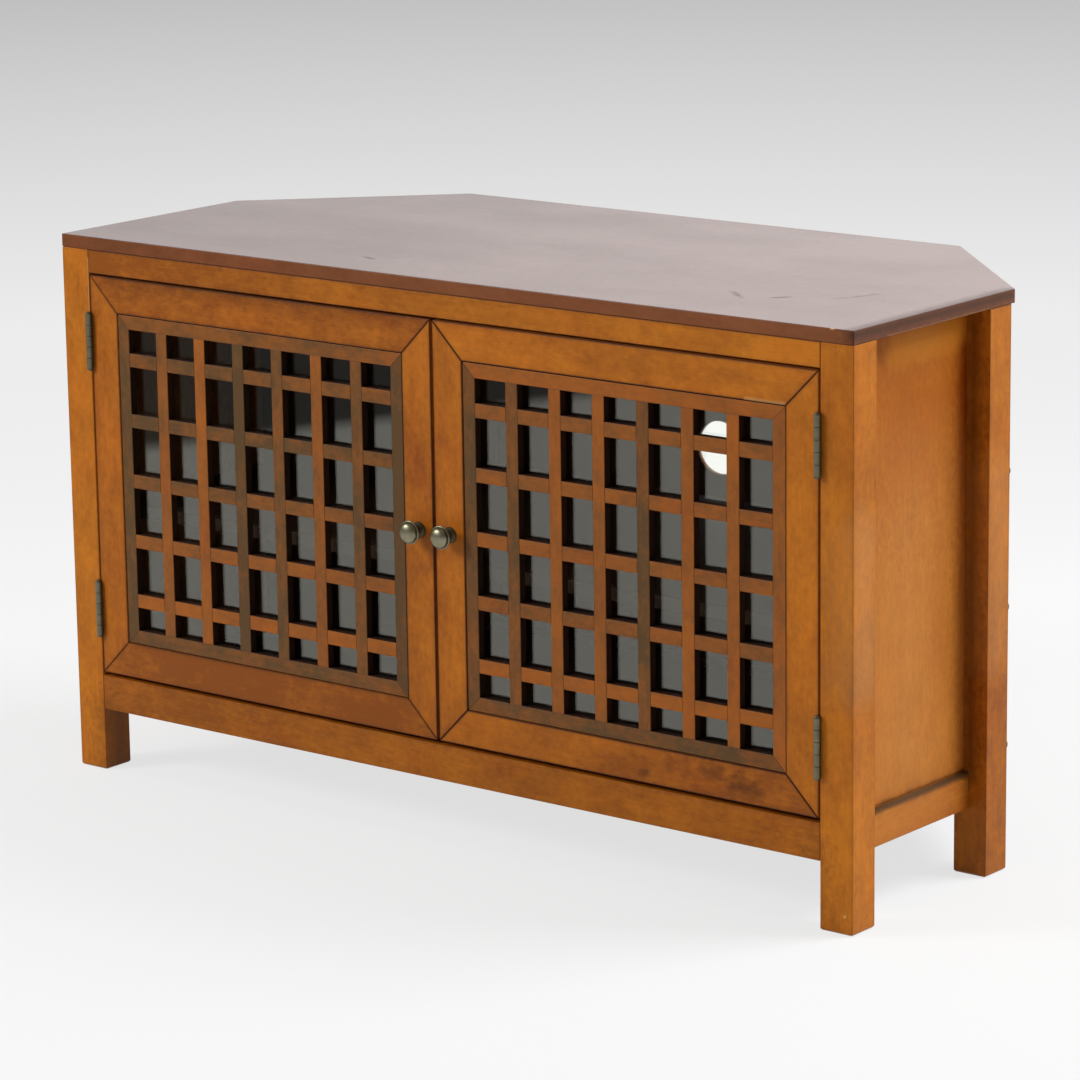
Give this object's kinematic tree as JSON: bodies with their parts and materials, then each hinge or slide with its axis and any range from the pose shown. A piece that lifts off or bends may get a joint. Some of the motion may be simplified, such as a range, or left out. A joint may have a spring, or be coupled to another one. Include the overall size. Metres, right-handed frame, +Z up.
{
  "type": "corner tv cabinet",
  "caption": "Low six-sided corner cabinet for a television: square posts, flush top, and two hinged doors with a half-lapped wooden lattice over glass, one shelf inside.",
  "frame": {"origin": "on the floor, under the middle of the cabinet's bounding box", "axes": "+X to the cabinet's right along its straight front, as seen from the front; +Y from the doors to the back; +Z up"},
  "size_m": [1.11, 0.5248, 0.6375],
  "materials": {
    "frame_wood": "satin honey-brown stain",
    "side_wood": "satin honey-brown stain",
    "top_wood": "semi-gloss brown lacquer",
    "door_wood": "satin honey-brown stain",
    "lattice_wood": "satin red-brown stain",
    "hidden_wood": "dark brown stain",
    "back_board": "thin stained plywood",
    "glass": "clear",
    "pewter": "aged pewter",
    "hinge_metal": "dark bronzed steel",
    "zinc": "bright zinc plate",
    "catch_plastic": "brown moulded"
  },
  "bodies": {
    "carcass": {"top_panel": "top_wood", "front_top_rail": "frame_wood", "front_bottom_rail": "frame_wood", "rear_bottom_rail": "hidden_wood", "floor_panel": "hidden_wood", "shelf": "hidden_wood", "back_panel": "back_board", "magnetic_catch": "catch_plastic", "right_front_post": "frame_wood", "right_side_post": "frame_wood", "right_rear_post": "frame_wood", "right_side_rail": "side_wood", "right_side_panel": "side_wood", "right_corner_panel": "back_board", "right_side_cleat": "hidden_wood", "right_rear_cleat": "hidden_wood", "right_front_shelf_pin": "zinc", "right_rear_shelf_pin": "zinc", "right_lower_hinge_post_leaf": "hinge_metal", "right_lower_hinge_pin": "hinge_metal", "right_upper_hinge_post_leaf": "hinge_metal", "right_upper_hinge_pin": "hinge_metal", "left_front_post": "frame_wood", "left_side_post": "frame_wood", "left_rear_post": "frame_wood", "left_side_rail": "side_wood", "left_side_panel": "side_wood", "left_corner_panel": "back_board", "left_side_cleat": "hidden_wood", "left_rear_cleat": "hidden_wood", "left_front_shelf_pin": "zinc", "left_rear_shelf_pin": "zinc", "left_lower_hinge_post_leaf": "hinge_metal", "left_lower_hinge_pin": "hinge_metal", "left_upper_hinge_post_leaf": "hinge_metal", "left_upper_hinge_pin": "hinge_metal"},
    "right_door": {"right_door_hinge_stile": "door_wood", "right_door_meeting_stile": "door_wood", "right_door_top_rail": "door_wood", "right_door_bottom_rail": "door_wood", "right_lattice_uprights": "lattice_wood", "right_lattice_crossbars": "lattice_wood", "right_glass": "glass", "right_glass_beads": "door_wood", "right_knob": "pewter", "right_strike": "zinc", "right_lower_hinge_door_leaf": "hinge_metal", "right_upper_hinge_door_leaf": "hinge_metal"},
    "left_door": {"left_door_hinge_stile": "door_wood", "left_door_meeting_stile": "door_wood", "left_door_top_rail": "door_wood", "left_door_bottom_rail": "door_wood", "left_lattice_uprights": "lattice_wood", "left_lattice_crossbars": "lattice_wood", "left_glass": "glass", "left_glass_beads": "door_wood", "left_knob": "pewter", "left_strike": "zinc", "left_lower_hinge_door_leaf": "hinge_metal", "left_upper_hinge_door_leaf": "hinge_metal"}
  },
  "joints": [
    {"name": "right_door_hinge", "type": "hinge", "parent": "carcass", "child": "right_door", "pos_m": [0.513, -0.2421, 0.35665], "axis": [0, 0, 1], "range_deg": [0, 170]},
    {"name": "left_door_hinge", "type": "hinge", "parent": "carcass", "child": "left_door", "pos_m": [-0.513, -0.2421, 0.35665], "axis": [0, 0, -1], "range_deg": [0, 170]}
  ]
}
